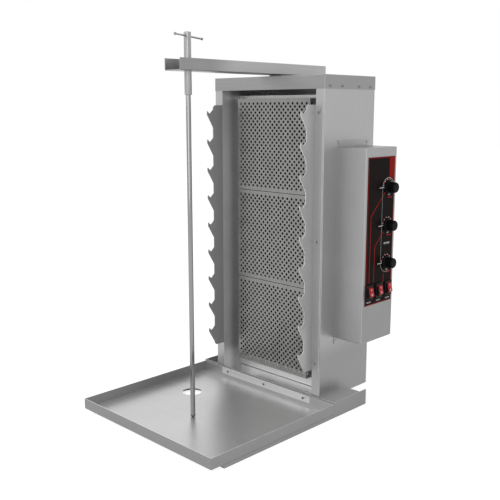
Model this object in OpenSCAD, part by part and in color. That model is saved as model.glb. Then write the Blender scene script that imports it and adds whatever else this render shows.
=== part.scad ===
/* [Cabinet] */
// Width of the cabinet over its side panels
cabinet_w = 364; // [340:1:400]
// Depth from the front stiles to the outside of the rear panel
cabinet_d = 192.6; // [185:0.2:230]
// Height of the header's top above the table
cabinet_top = 810; // [800:1:900]
// Height of the header cap's skirt
header_h = 32; // [24:1:50]
// Sheet thickness of the header cap
header_sheet = 1; // [0.8:0.1:1.5]
// Width of each front stile
stile_w = 25.2; // [22:0.2:34]
// Sheet thickness of the cabinet and the base
sheet = 1.5; // [1:0.1:2]
// Sheet thickness of the polished side liners
liner_sheet = 1.2; // [0.8:0.1:2]
// Width of the folded flanges inside the cabinet
flange_w = 10; // [8:1:14]
// Depth from the cabinet's face to the burner plate
burner_y = 66; // [60:1:80]
// Gap between the deck and the burner plate over it
burner_lift = 1.5; // [0.5:0.1:4]
// Height of the burner plate's top edge
burner_top = 766; // [762:1:774]
// Thickness of the insulation board
board_t = 28; // [15:1:35]
// Gap behind the burner plate for the heaters' terminals
terminal_gap = 24; // [22:1:30]
// Length of one louvre slot in the rear panel
louvre_w = 80; // [40:2:110]
// Height of one louvre slot
louvre_h = 5; // [3:0.5:8]
// Number of louvre rows
louvre_rows = 8; // [3:1:12]

/* [Base and tray] */
// Width of the base and of the drip tray on it
base_w = 460; // [420:1:500]
// How far the base reaches in front of the cabinet
base_reach = 366; // [340:1:380]
// How far the base reaches behind the cabinet's face
base_back = 126; // [110:1:150]
// Height of the low platform that carries the tray
platform_h = 9; // [7:0.5:14]
// Width of the platform's folded lip
lip_w = 14; // [10:1:25]
// Height of the rim beside the cabinet
rim_top = 39; // [36:1:50]
// Height of the deck that carries the cabinet
deck_top = 27; // [20:1:30]
// How far the riser stands in front of the cabinet
riser_gap = 4; // [3:0.5:8]
// How far the tray reaches in front of the cabinet
tray_reach = 402; // [385:1:430]
// Height of the tray's wall over its underside
tray_h = 25.6; // [20:0.2:28]
// Sheet thickness of the tray
tray_t = 1.5; // [1:0.1:2]
// Diameter of the drain hole in the tray's floor
drain_d = 51; // [30:1:60]
// Sideways place of the drain hole
drain_x = -125; // [-160:1:160]
// Distance of the drain hole in front of the cabinet
drain_reach = 145; // [60:1:220]
// Gap round the drain hole in the base under it
drain_margin = 10; // [5:1:20]
// Height of the strip that clamps the tray's rear wall
strip_h = 17.4; // [14:0.2:20]
// Thickness of the clamping strip
strip_t = 1.2; // [0.8:0.1:2]
// Distance between the strip's screws
strip_pitch = 134.5; // [100:0.5:140]

/* [Burner screens] */
// Width of a perforated screen
screen_w = 242; // [200:1:250]
// Height of a perforated screen
screen_h = 230; // [200:1:232]
// Distance from one screen to the next
screen_pitch = 231.3; // [231.3:0.1:233]
// Height of the lowest screen's lower edge
screen_z = 65; // [50:1:65]
// Depth of a screen's folded sides
screen_d = 44.4; // [40:0.2:55]
// Sheet thickness of a screen
screen_t = 1; // [0.8:0.1:1.5]
// Width of the flange beside a screen
screen_flange = 12; // [10:1:15]
// Depth of the fold along a screen's top and bottom
screen_fold = 9; // [5:1:12]
// Diameter of the perforations
hole_d = 6.4; // [4:0.1:7.5]
// Distance between perforations in a row
hole_pitch = 14.7; // [13:0.1:20]
// Least plain border round the perforations
hole_margin = 10; // [8:1:20]
// Thickness of a ceramic heater plate
ceramic_t = 26; // [20:1:30]
// Gap between a heater plate and the screen round it
ceramic_gap = 8; // [6:1:15]
// Diameter of a heating element's tube
element_d = 6; // [4:0.5:8]
// Number of straight runs in one element
element_runs = 8; // [4:2:10]

/* [Arm and skewer] */
// Width of the arm's channel
arm_w = 52.5; // [40:0.5:70]
// Height of the arm's channel
arm_h = 26.4; // [20:0.2:40]
// Sheet thickness of the arm
arm_t = 2; // [1.5:0.1:3]
// How far the arm reaches in front of the cabinet
arm_reach = 294; // [280:1:330]
// Thickness of the pad between the header and the arm
pad_t = 4; // [3:0.5:8]
// Width of the pad
pad_w = 40; // [30:1:48]
// Length of the pad
pad_len = 130; // [100:1:140]
// Distance between the two arm bolts
bolt_pitch = 80; // [50:1:90]
// Diameter of the arm bolts
bolt_d = 8; // [6:1:10]
// Distance of the skewer's axis in front of the cabinet
skewer_reach = 250.5; // [230:0.5:265]
// Diameter of the skewer's rod
rod_d = 11.2; // [10:0.1:12]
// Outer diameter of the sleeve over the rod's top
sleeve_d = 16; // [15:0.1:18]
// Height of the sleeve's lower end
sleeve_z = 763; // [750:1:765]
// Height of the sleeve's top
sleeve_top = 897; // [885:1:930]
// Travel of the sleeve when it lets the rod out
sleeve_lift = 42; // [30:1:44]
// Side of the square tang on the rod's top
tang = 7.6; // [6:0.1:7.8]
// Radial clearance of the sleeve in its bush
bush_gap = 0.08; // [0.02:0.01:0.1]
// Radial clearance of the rod in the sleeve
rod_gap = 0.08; // [0.02:0.01:0.1]
// Diameter of the handle bar
bar_d = 4; // [3:0.1:5]
// Length of the handle bar over its end balls
bar_len = 142; // [100:1:180]
// Diameter of the handle bar's end balls
ball_d = 6.4; // [5.5:0.1:8]
// Distance of the handle bar below the sleeve's top
bar_drop = 9; // [6:0.5:20]
// Angle of the handle bar to the front-to-back line
bar_turn = 23.9; // [0:0.1:90]
// How far the handle bar is slid back through the sleeve
bar_shift = 8; // [-30:1:30]

/* [Skewer racks] */
// How far the teeth reach in front of the cabinet
rack_reach = 54; // [50:1:70]
// Depth of the rack behind the teeth
rack_back = 33.5; // [25:0.5:40]
// Sheet thickness of the racks
rack_t = 1.5; // [1:0.1:2]
// Width of the rack's screwed flange
rack_flange = 22; // [18:1:22]
// Number of teeth on a rack
tooth_count = 9; // [5:1:9]
// Distance from one tooth to the next
tooth_pitch = 71.5; // [60:0.5:71.5]
// Height of the lowest tooth's tip
tooth_z = 155; // [150:1:160]
// Plain length of the rack past its first and last notch
rack_end = 15; // [10:1:20]

/* [Control box] */
// How far the control box stands out of the cabinet's side
box_out = 84; // [75:1:100]
// Width of the control box's panel
box_w = 122; // [115:1:126]
// Height of the control box
box_h = 465; // [440:1:480]
// Height of the control box's underside
box_z = 180; // [150:1:200]
// Distance of the control box behind the cabinet's face
box_y = 51; // [50:1:56]
// Sheet thickness of the control box
box_sheet = 1.2; // [0.8:0.1:2]
// Height of the box's fixing flanges
box_flange = 16; // [12:1:20]
// Thickness of the control panel's overlay
overlay_t = 0.8; // [0.5:0.1:2]
// Plain border beside the overlay
overlay_border = 8; // [5:0.5:9]
// Distance of the overlay below the box's top
overlay_drop = 22; // [15:1:40]
// Height of the overlay
overlay_h = 351; // [340:1:380]
// Distance of the dials from the overlay's rear edge
dial_inset = 24.5; // [20:0.5:30]
// Height of the lowest dial's centre
dial_z = 368.7; // [350:0.1:372]
// Distance from one dial to the next
dial_pitch = 90.8; // [80:0.1:93]
// Diameter of a knob's skirt
knob_skirt_d = 31; // [28:0.5:40]
// Diameter of a knob's grip
knob_d = 25.5; // [22:0.5:30]
// Height of a knob
knob_h = 22; // [18:0.5:30]
// Number of flutes round a knob
knob_flutes = 18; // [8:1:24]
// Gap between a knob and the overlay
knob_gap = 0.6; // [0.3:0.1:1.5]
// Diameter of a regulator's shaft
shaft_d = 6; // [5:0.5:7]
// Radial clearance of a shaft in its bush
shaft_gap = 0.05; // [0.02:0.01:0.1]
// Height of the rocker switches' centre
switch_z = 304; // [290:1:306]
// Distance from one rocker switch to the next
switch_pitch = 38; // [34:0.5:39]
// Width of a switch's bezel
bezel_w = 26; // [22:0.5:30]
// Height of a switch's bezel
bezel_h = 36; // [32:0.5:40]
// How far a bezel stands out of the overlay
bezel_t = 3; // [2:0.1:5]
// Radius of a rocker's ends about its pivot
rocker_r = 13; // [11:0.1:15.6]
// Width of a rocker
rocker_w = 16; // [12:0.5:20]
// Distance of a rocker's crown from its pivot
rocker_crown = 8; // [6:0.1:9]
// Tilt of a rocker to either side
rocker_tilt = 12; // [8:1:14]
// Gap between a rocker and its housing
rocker_gap = 0.3; // [0.2:0.05:0.6]

/* [Fasteners and wiring] */
// Diameter of the sheet-metal screws
screw_d = 3.5; // [3:0.1:4.2]
// Diameter of the screws' heads
screw_head_d = 6; // [5.4:0.1:9]
// Height of the screws' heads
screw_head_h = 2; // [1.5:0.1:3]
// Radial clearance round a screw
screw_gap = 0.2; // [0.1:0.05:0.4]
// Length of a screw behind its head
screw_len = 9; // [7:0.5:12]
// Bore of the cable gland
gland_bore = 8; // [5:0.5:10]
// Diameter of the cable gland's thread
gland_d = 16; // [14:0.5:20]
// Distance of the cable gland from the cabinet and from the box's rear
gland_inset = 22; // [18:1:30]
// Diameter of the wire passage in the cabinet's side
passage_d = 20; // [14:1:26]
// Diameter of the wiring loom's trunk
loom_d = 8; // [5:0.5:10]

/* [Hidden] */
$fn = 48;

// Cuts run this far past the faces they open
over = 1;
// Burner screens above each other, as many as the nodes above name
screen_count = 3;
steel = "#a9abac";
bright = "#c6c8c9";
dark = "#1b1a19";

// Shared places, worked out from the sizes above
half_w = cabinet_w / 2;
opening_half = half_w - stile_w;
inner_half = half_w - sheet;
side_top = cabinet_top - header_sheet;
header_z = cabinet_top - header_h;
plate_back = burner_y + sheet;
bottom_z = deck_top + sheet;
board_y = plate_back + terminal_gap;
shield_y = board_y + board_t;
shield_t = 1.2;
riser_back = sheet - riser_gap;
tray_back = -riser_gap - tray_t;
tray_floor = platform_h + tray_t;
tray_top = platform_h + tray_h;
strip_mid = tray_top - strip_h / 2;
header_screw_z = header_z + 6.5;
header_screw_edge = 19;
header_screw_step = 45;
header_screw_y = [
    header_screw_edge, header_screw_edge + header_screw_step,
    cabinet_d - header_screw_edge - header_screw_step, cabinet_d - header_screw_edge
];

screen_y = burner_y - screen_d;
hole_cols = floor((screen_w - 2 * hole_margin) / hole_pitch) + 1;
hole_rows = floor((screen_h - 2 * hole_margin) / hole_pitch) + 1;
side_hole_inset = 7;
ceramic_y = burner_y - ceramic_t;
ceramic_w = screen_w - 2 * (screen_t + ceramic_gap);
ceramic_h = screen_h - 2 * (screen_t + ceramic_gap);
groove_w = element_d + 3;
groove_d = element_d + 2.5;
element_seat = 0.1;
element_y = ceramic_y + groove_d - element_d / 2 - element_seat;
element_edge = 16;
run_pitch = (ceramic_h - 2 * element_edge) / (element_runs - 1);
run_half = ceramic_w / 2 - element_edge - run_pitch / 2;
bend_lap = 0.2;
pin_d = 4;
pin_gap = 0.1;
pin_room = 2;
pin_reach = 14;

arm_z = cabinet_top + pad_t;
web_top = arm_z + arm_t;
arm_back = cabinet_d + header_sheet;
pad_y = cabinet_d / 2;
bolt_head_h = 5.5;
nut_d = 15;
nut_h = 6.5;
bolt_tail = 2;
bolt_len = web_top - side_top + nut_h + bolt_tail;
bush_wall = 3;
bush_r = sleeve_d / 2 + bush_wall;
bush_flange = 4;
bush_flange_h = 3;
slip = 0.05;
rod_top = sleeve_z + sleeve_lift;
tang_len = 28;
shoulder = rod_top - tang_len;
seat_gap = 0.1;
socket_gap = 0.1;
tip_collar = 0.2;
tip_h = 6;
tip_point = 3.4;
tip_z = tray_floor + 0.2;
bar_z = sleeve_top - bar_drop;

tooth_foot = 42;
tooth_lip = 9;
tooth_flat = 2;
notch_set = 9.5;
notch_drop = 6.4;
notch_rise = 4;
rack_corner = 6;
tooth_tops = [for (i = [0 : tooth_count - 1]) tooth_z + i * tooth_pitch];
rack_z0 = tooth_z - tooth_foot - rack_end * 0.6;
rack_z1 = tooth_tops[tooth_count - 1] + rack_end;
rack_screw_x = opening_half + rack_flange / 2;
rack_screw_inset = 18;
rack_screw_z = [
    rack_z0 + rack_screw_inset, (rack_z0 + rack_z1) / 2, rack_z1 - rack_screw_inset
];

box_x = half_w + box_out;
box_back = box_y + box_w;
box_top = box_z + box_h;
skin_x = box_x + overlay_t;
overlay_y0 = box_y + overlay_border;
overlay_y1 = box_back - overlay_border;
overlay_z1 = box_top - overlay_drop;
overlay_z0 = overlay_z1 - overlay_h;
dial_y = overlay_y1 - dial_inset;
bush_thread = 10;
thread_gap = 0.2;
regulator_w = 42;
regulator_h = 46;
regulator_t = 32;
regulator_nut = 15;
regulator_nut_h = 2.2;
knob_x = skin_x + knob_gap;
knob_skirt_h = 3;
knob_hollow_d = 19;
knob_hollow_h = 5;
knob_wall = 6;
flute_r = 1.4;
shaft_back = 12;
shaft_front = knob_x + knob_h - knob_wall;
switch_y = (overlay_y0 + overlay_y1) / 2;
bezel_x = skin_x + bezel_t;
pivot_set = 2.8;
pivot_x = bezel_x - pivot_set;
mouth_w = rocker_w + 2 * rocker_gap;
mouth_h = 2 * (rocker_r + rocker_gap);
switch_wall = 1;
switch_body_w = mouth_w + 2 * switch_wall;
switch_body_h = mouth_h + 2 * switch_wall;
cutout_gap = 0.1;
switch_depth = 18;
well_depth = 9;
rocker_back = 5;
rocker_vee = 7;
trunnion_r = 1.5;
trunnion_len = 0.7;
blade_pitch = 16;
blade_len = 8;
blade_w = 6;
blade_t = 0.8;
blade_root = 0.1;

box_screw_z = [box_z - box_flange * 0.6, box_top + box_flange * 0.6];
box_screw_inset = 7.5;
box_screw_y = [box_y + box_screw_inset, box_back - box_screw_inset];
grommet_gap = 0.5;
grommet_lip = 3;
passage_y = plate_back + grommet_gap + grommet_lip + passage_d / 2;
passage_rise = 62;
passage_z = box_z + passage_rise;
loom_gap = 0.3;
grommet_t = 1.5;
grommet_bore = passage_d - 6;
block_gap = 12;
block_y = passage_y + block_gap;
block_w = 60;
block_t = 17;
block_h = 22;
block_rise = 20;
block_z = box_z + block_rise;
gland_x = half_w + gland_inset;
gland_y = box_back - gland_inset;
gland_nut = gland_d + 8;
gland_nut_h = 6;
gland_len = 17;
gland_thread = 12;
locknut_h = 5;
loom_x = half_w + grommet_t + loom_d / 2 + loom_gap;
loom_inside = 12;
branch_d = 4;
lead_d = 3;

// A plate that stands across the object, drawn in width and height
module plate_across(y, t) {
    translate([0, y + t, 0]) rotate([90, 0, 0]) linear_extrude(t) children();
}

// A plate that stands along the object, drawn in depth and height
module plate_along(x, t) {
    translate([x, 0, 0]) rotate([90, 0, 90]) linear_extrude(t) children();
}

// A box given by its lowest and highest corners
module span(low, high) {
    translate(low) cube(high - low);
}

// The same shape on the right and on the left
module both_sides() {
    children();
    mirror([1, 0, 0]) children();
}

// A round bar along X that starts at x
module bar_x(x, len, r) {
    translate([x, 0, 0]) rotate([0, 90, 0]) cylinder(h = len, r = r);
}

// A screw whose head stands out along +Z and whose tip points down
module screw() {
    r = screw_head_d / 2;
    difference() {
        rotate_extrude() polygon([
            [0, 0], [r, 0], [r, screw_head_h * 0.45], [r * 0.62, screw_head_h], [0, screw_head_h]
        ]);
        for (a = [0, 90]) rotate([0, 0, a])
            translate([-r * 0.5, -0.4, screw_head_h - 0.9]) cube([r, 0.8, 1]);
    }
    translate([0, 0, -screw_len]) cylinder(h = screw_len + 0.1, r = screw_d / 2);
}

// The hole that a screw passes through, along Z
module screw_hole() {
    translate([0, 0, -screw_len]) cylinder(h = 2 * screw_len, r = screw_d / 2 + screw_gap);
}

// Places on the cabinet's sides where the header is screwed
module at_header_screws() {
    both_sides() for (y = header_screw_y)
        translate([half_w + header_sheet, y, header_screw_z]) rotate([0, 90, 0]) children();
}

// Places on the tray's rear wall where the strip is screwed
module at_strip_screws() {
    for (i = [-1 : 1])
        translate([i * strip_pitch, tray_back - strip_t, strip_mid]) rotate([90, 0, 0]) children();
}

// Places on the stiles where the racks are screwed
module at_rack_screws() {
    both_sides() for (z = rack_screw_z)
        translate([rack_screw_x, -rack_t, z]) rotate([90, 0, 0]) children();
}

// Places on the cabinet's right side where the control box is screwed
module at_box_screws() {
    for (y = box_screw_y, z = box_screw_z)
        translate([half_w + box_sheet, y, z]) rotate([0, 90, 0]) children();
}

// Base, open under the drain, with a riser in front of the cabinet
module base_pan() {
    hw = base_w / 2;
    color(steel) difference() {
        union() {
            span([-hw, -base_reach, 0], [hw, base_back, sheet]);
            span([-hw, -base_reach, 0], [hw, sheet - base_reach, platform_h]);
            span([-hw, -riser_gap, 0], [hw, riser_back, rim_top]);
            span([-hw, base_back - sheet, 0], [hw, base_back, deck_top - sheet]);
            both_sides() {
                span([hw - sheet, -base_reach, 0], [hw, -riser_gap, platform_h]);
                span([hw - lip_w, -base_reach, platform_h - sheet], [hw, -riser_gap, platform_h]);
                span([hw - sheet, -riser_gap, 0], [hw, base_back, rim_top]);
            }
            span([-hw, -base_reach, platform_h - sheet], [hw, lip_w - base_reach, platform_h]);
            span([-hw, -riser_gap - lip_w, platform_h - sheet], [hw, -riser_gap, platform_h]);
        }
        translate([drain_x, -drain_reach, -over])
            cylinder(h = platform_h + 2 * over, r = drain_d / 2 + drain_margin);
        at_strip_screws() screw_hole();
    }
}

// Polished deck that the cabinet stands on
module base_deck() {
    hw = base_w / 2 - sheet;
    color(bright) difference() {
        span([-hw, riser_back, deck_top - sheet], [hw, base_back, deck_top]);
        at_strip_screws() screw_hole();
    }
}

// Drip tray with a round drain in its floor
module drip_tray() {
    hw = base_w / 2;
    color(bright) difference() {
        span([-hw, -tray_reach, platform_h], [hw, -riser_gap, tray_top]);
        span([tray_t - hw, tray_t - tray_reach, tray_floor], [hw - tray_t, tray_back, tray_top + over]);
        translate([drain_x, -drain_reach, platform_h - over])
            cylinder(h = tray_t + 2 * over, r = drain_d / 2);
        at_strip_screws() screw_hole();
    }
}

// Strip that clamps the tray's rear wall to the riser
module tray_strip() {
    color(bright) difference() {
        span([-opening_half, tray_back - strip_t, tray_top - strip_h], [opening_half, tray_back, tray_top]);
        at_strip_screws() screw_hole();
    }
}

module strip_screws() {
    color(dark) at_strip_screws() screw();
}

// Side panel with its front stile and its rear flange
module side_panel() {
    span([inner_half, 0, deck_top], [half_w, cabinet_d - sheet, side_top]);
    span([opening_half, 0, deck_top], [half_w, sheet, side_top]);
    span([half_w - flange_w, cabinet_d - 2 * sheet, deck_top], [half_w, cabinet_d - sheet, side_top]);
}

module side_panel_left() {
    color(steel) difference() {
        mirror([1, 0, 0]) side_panel();
        at_header_screws() screw_hole();
        at_rack_screws() screw_hole();
    }
}

module side_panel_right() {
    color(steel) difference() {
        side_panel();
        at_header_screws() screw_hole();
        at_rack_screws() screw_hole();
        at_box_screws() screw_hole();
        translate([0, passage_y, passage_z]) bar_x(inner_half - over, sheet + 2 * over, passage_d / 2);
    }
}

// Polished liner beside the burners, with a flange on the burner plate
module liner() {
    span([opening_half, sheet, deck_top], [opening_half + liner_sheet, burner_y, side_top]);
    span([opening_half, burner_y - liner_sheet, deck_top],
        [opening_half + liner_sheet + flange_w, burner_y, burner_top]);
}

module liner_left() {
    color(bright) mirror([1, 0, 0]) liner();
}

module liner_right() {
    color(bright) liner();
}

// Plate that carries the heaters and their screens
module burner_plate() {
    color(steel) difference() {
        span([-inner_half, burner_y, deck_top + burner_lift], [inner_half, plate_back, burner_top]);
        for (k = [0 : screen_count - 1]) at_pins(k)
            cylinder(h = ceramic_t + sheet + over, r = pin_d / 2 + pin_room);
    }
}

// Floor of the cabinet behind the burner plate
module cabinet_bottom() {
    color(steel) span([-inner_half, plate_back, deck_top], [inner_half, cabinet_d - 2 * sheet, bottom_z]);
}

// Mineral wool board behind the heaters' terminals
module insulation_board() {
    color("#cfc6ae") span([-inner_half + flange_w, board_y, bottom_z], [inner_half - flange_w, shield_y, burner_top]);
}

// Steel shield that holds the insulation board
module heat_shield() {
    color(steel) span([-inner_half, shield_y, bottom_z], [inner_half, shield_y + shield_t, burner_top]);
}

// Rear panel with two columns of louvre slots
module rear_panel() {
    louvre_pitch = 22;
    louvre_z = 560;
    louvre_gap = 20;
    color(steel) difference() {
        span([-half_w, cabinet_d - sheet, deck_top], [half_w, cabinet_d, side_top]);
        both_sides() for (i = [0 : louvre_rows - 1])
            span([louvre_gap, cabinet_d - sheet - over, louvre_z + i * louvre_pitch],
                [louvre_gap + louvre_w, cabinet_d + over, louvre_z + i * louvre_pitch + louvre_h]);
    }
}

// Header cap that closes the cabinet's top
module header_cap() {
    hw = half_w + header_sheet;
    color(steel) difference() {
        span([-hw, -header_sheet, header_z], [hw, arm_back, cabinet_top]);
        span([-half_w, 0, header_z - over], [half_w, cabinet_d, side_top]);
        at_header_screws() screw_hole();
        at_arm_bolts() bolt_hole();
    }
}

module header_screws() {
    color(steel) at_header_screws() screw();
}

// Places of the two arm bolts, on the arm's web
module at_arm_bolts() {
    for (s = [-1, 1]) translate([0, pad_y + s * bolt_pitch / 2, web_top]) children();
}

module bolt_hole() {
    translate([0, 0, -bolt_len]) cylinder(h = 2 * bolt_len, r = bolt_d / 2 + screw_gap);
}

// Pad that carries the arm on the header
module arm_pad() {
    color(steel) difference() {
        span([-pad_w / 2, pad_y - pad_len / 2, cabinet_top], [pad_w / 2, pad_y + pad_len / 2, arm_z]);
        at_arm_bolts() bolt_hole();
    }
}

// Upright channel that reaches out over the tray
module arm_channel() {
    hw = arm_w / 2;
    color(steel) difference() {
        span([-hw, -arm_reach, arm_z], [hw, arm_back, arm_z + arm_h]);
        span([arm_t - hw, -arm_reach - over, web_top], [hw - arm_t, arm_back + over, arm_z + arm_h + over]);
        at_arm_bolts() bolt_hole();
        translate([0, -skewer_reach, arm_z - over]) cylinder(h = arm_t + 2 * over, r = bush_r + slip);
    }
}

// Flanged bush that guides the sleeve
module arm_bush() {
    color("#b08d4f") translate([0, -skewer_reach, arm_z]) difference() {
        union() {
            cylinder(h = arm_t + bush_flange_h, r = bush_r);
            translate([0, 0, arm_t]) cylinder(h = bush_flange_h, r = bush_r + bush_flange);
        }
        translate([0, 0, -over]) cylinder(h = arm_t + bush_flange_h + 2 * over, r = sleeve_d / 2 + bush_gap);
    }
}

// Two hexagon bolts with their nuts under the header's top
module arm_bolts() {
    color(steel) at_arm_bolts() {
        cylinder(h = bolt_head_h, r = nut_d / 2, $fn = 6);
        translate([0, 0, -bolt_len]) cylinder(h = bolt_len + bolt_head_h / 2, r = bolt_d / 2);
        translate([0, 0, side_top - web_top - nut_h]) difference() {
            cylinder(h = nut_h, r = nut_d / 2, $fn = 6);
            translate([0, 0, -over]) cylinder(h = nut_h + 2 * over, r = bolt_d / 2 + slip);
        }
    }
}

// Long rod with a square tang at its top
module skewer_rod() {
    color(bright) translate([0, -skewer_reach, 0]) {
        translate([0, 0, tip_z + tip_h]) cylinder(h = shoulder - tip_z - tip_h, r = rod_d / 2);
        translate([-tang / 2, -tang / 2, shoulder - 0.1]) cube([tang, tang, tang_len + 0.1]);
    }
}

// Tip that turns on the tray's floor
module skewer_tip() {
    r = rod_d / 2 + tip_collar;
    color("#868694") translate([0, -skewer_reach, tip_z]) rotate_extrude()
        polygon([[0, 0], [tip_point, 0], [r, tip_h * 0.5], [r, tip_h], [0, tip_h]]);
}

// Sleeve that drops over the rod and is turned by the handle bar
module skewer_sleeve() {
    side = tang + 2 * socket_gap;
    edge = 0.8;
    r = sleeve_d / 2;
    color(steel) translate([0, -skewer_reach, 0]) difference() {
        rotate_extrude() polygon([
            [0, sleeve_z], [r, sleeve_z], [r, sleeve_top - edge], [r - edge, sleeve_top], [0, sleeve_top]
        ]);
        translate([0, 0, sleeve_z - over])
            cylinder(h = shoulder + seat_gap - sleeve_z + over, r = rod_d / 2 + rod_gap);
        translate([-side / 2, -side / 2, sleeve_z]) cube([side, side, rod_top + seat_gap - sleeve_z]);
        translate([0, 0, bar_z]) rotate([0, 0, bar_turn]) rotate([90, 0, 0])
            translate([0, 0, -sleeve_d]) cylinder(h = 2 * sleeve_d, r = bar_d / 2 + seat_gap);
    }
}

// Handle bar that slides in the sleeve's cross hole
module handle_bar() {
    reach = (bar_len - ball_d) / 2;
    color(steel) translate([0, -skewer_reach, bar_z]) rotate([-90, 0, bar_turn]) translate([0, 0, bar_shift]) {
        translate([0, 0, -reach]) cylinder(h = 2 * reach, r = bar_d / 2);
        for (s = [-1, 1]) translate([0, 0, s * reach]) sphere(r = ball_d / 2);
    }
}

// Outline of a toothed rack in depth and height
module rack_outline() {
    polygon(concat(
        [[0, rack_z0], [rack_corner - rack_back, rack_z0], [-rack_back, rack_z0 + rack_corner]],
        [for (z = tooth_tops, p = [
            [-rack_back, z - tooth_foot], [-rack_reach, z - tooth_lip], [-rack_reach, z],
            [tooth_flat - rack_reach, z], [notch_set - rack_reach, z - notch_drop], [-rack_back, z + notch_rise]
        ]) p],
        [[-rack_back, rack_z1 - rack_corner], [rack_corner - rack_back, rack_z1], [0, rack_z1]]
    ));
}

// Toothed rack that holds level skewers in front of the burners
module rack() {
    difference() {
        union() {
            plate_along(opening_half, rack_t) rack_outline();
            span([opening_half, -rack_t, rack_z0], [opening_half + rack_flange, 0, rack_z1]);
        }
        at_rack_screws() screw_hole();
    }
}

module rack_left() {
    color(steel) mirror([1, 0, 0]) rack();
}

module rack_right() {
    color(steel) rack();
}

module rack_screws() {
    color(steel) at_rack_screws() screw();
}

// Lower edge of a screen, counted from the lowest
function screen_low(k) = screen_z + k * screen_pitch;
function screen_mid(k) = screen_low(k) + screen_h / 2;

// Staggered perforations, centred on the drawing's origin
module perforations() {
    for (row = [0 : hole_rows - 1], col = [0 : hole_cols - 1])
        translate([(col - (hole_cols - 1) / 2) * hole_pitch, (row - (hole_rows - 1) / 2) * hole_pitch])
            circle(d = hole_d);
    for (row = [0 : hole_rows - 2], col = [0 : hole_cols - 2])
        translate([(col - (hole_cols - 2) / 2) * hole_pitch, (row - (hole_rows - 2) / 2) * hole_pitch])
            circle(d = hole_d);
}

// One column of perforations at a distance along the drawing
module hole_column(u, mid) {
    for (row = [0 : hole_rows - 1])
        translate([u, mid + (row - (hole_rows - 1) / 2) * hole_pitch]) circle(d = hole_d);
}

// Perforated screen, folded back to flanges on the burner plate
module screen(k) {
    low = screen_low(k);
    mid = screen_mid(k);
    hw = screen_w / 2;
    color(bright) {
        plate_across(screen_y, screen_t) difference() {
            translate([-hw, low]) square([screen_w, screen_h]);
            translate([0, mid]) perforations();
        }
        both_sides() {
            plate_along(hw - screen_t, screen_t) difference() {
                translate([screen_y, low]) square([screen_d, screen_h]);
                hole_column(screen_y + side_hole_inset, mid);
            }
            plate_across(burner_y - screen_t, screen_t) difference() {
                translate([hw - screen_t, low]) square([screen_flange + screen_t, screen_h]);
                hole_column(hw + screen_flange / 2, mid);
            }
        }
        for (z = [low, low + screen_h - screen_t])
            span([-hw, screen_y, z], [hw, screen_y + screen_fold, z + screen_t]);
    }
}

// Height of a heater's terminal pin, at its lower or its upper end
function pin_z(k, end) = screen_mid(k) + end * (ceramic_h / 2 - element_edge);

// Places of one heater's two terminal pins, looking along +Y
module at_pins(k) {
    for (end = [-1, 1])
        translate([run_half - pin_d, ceramic_y + groove_d - element_d, pin_z(k, end)])
            rotate([-90, 0, 0]) children();
}

// Path of one heating element, centred, in width and height
module serpentine() {
    for (i = [0 : element_runs - 1])
        translate([0, (i - (element_runs - 1) / 2) * run_pitch, 0])
            bar_x(-run_half - bend_lap, 2 * (run_half + bend_lap), element_d / 2);
    for (i = [0 : element_runs - 2]) {
        side = i % 2 == 0 ? -1 : 1;
        translate([side * run_half, (i - (element_runs - 2) / 2) * run_pitch, 0])
            rotate([0, 0, side > 0 ? -90 : 90]) rotate_extrude(angle = 180)
            translate([run_pitch / 2, 0]) circle(d = element_d - bend_lap / 2);
    }
}

// Groove that takes the element, with a square pocket at each bend
module groove() {
    pocket_w = (run_pitch + groove_w) / 2;
    pocket_h = run_pitch + groove_w - over;
    for (i = [0 : element_runs - 1])
        translate([-run_half - over, (i - (element_runs - 1) / 2) * run_pitch - groove_w / 2])
            square([2 * (run_half + over), groove_w]);
    for (i = [0 : element_runs - 2])
        translate([(i % 2 == 0 ? -1 : 1) * (run_half + pocket_w / 2), (i - (element_runs - 2) / 2) * run_pitch])
            square([pocket_w, pocket_h], center = true);
}

// Ceramic plate behind a screen
module heater_plate(k) {
    color("#3a332d") difference() {
        span([-ceramic_w / 2, ceramic_y, screen_mid(k) - ceramic_h / 2],
            [ceramic_w / 2, burner_y, screen_mid(k) + ceramic_h / 2]);
        translate([0, 0, screen_mid(k)]) plate_across(ceramic_y - over, groove_d + over) groove();
        at_pins(k) cylinder(h = ceramic_t + over, r = pin_d / 2 + pin_gap);
    }
}

// Tubular heating element with its terminal pins
module heating_element(k) {
    color("#57514c") {
        translate([0, element_y, screen_mid(k)]) rotate([90, 0, 0]) serpentine();
        translate([0, -element_seat, 0]) at_pins(k)
            translate([0, 0, element_d / 2]) cylinder(h = plate_back + pin_reach - element_y, r = pin_d / 2);
    }
}

// Casing on the cabinet's right side, open towards it
module control_box() {
    color(steel) difference() {
        union() {
            difference() {
                span([half_w, box_y, box_z], [box_x, box_back, box_top]);
                span([half_w - over, box_y + box_sheet, box_z + box_sheet],
                    [box_x - box_sheet, box_back - box_sheet, box_top - box_sheet]);
            }
            span([half_w, box_y, box_top - box_sheet], [half_w + box_sheet, box_back, box_top + box_flange]);
            span([half_w, box_y, box_z - box_flange], [half_w + box_sheet, box_back, box_z + box_sheet]);
        }
        at_box_screws() screw_hole();
        panel_cuts();
        translate([gland_x, gland_y, box_z - over])
            cylinder(h = box_sheet + 2 * over, r = gland_d / 2 + thread_gap);
    }
}

// Holes for the dials and the switches in the panel and its overlay
module panel_cuts() {
    for (k = [0 : 2]) at_dial(k)
        bar_x(box_x - box_sheet - over, overlay_t + box_sheet + 2 * over, bush_thread / 2 + thread_gap);
    for (k = [0 : 2]) {
        y = switch_y + (k - 1) * switch_pitch;
        hw = switch_body_w / 2 + cutout_gap;
        hh = switch_body_h / 2 + cutout_gap;
        span([box_x - box_sheet - over, y - hw, switch_z - hh], [skin_x + over, y + hw, switch_z + hh]);
    }
}

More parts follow.
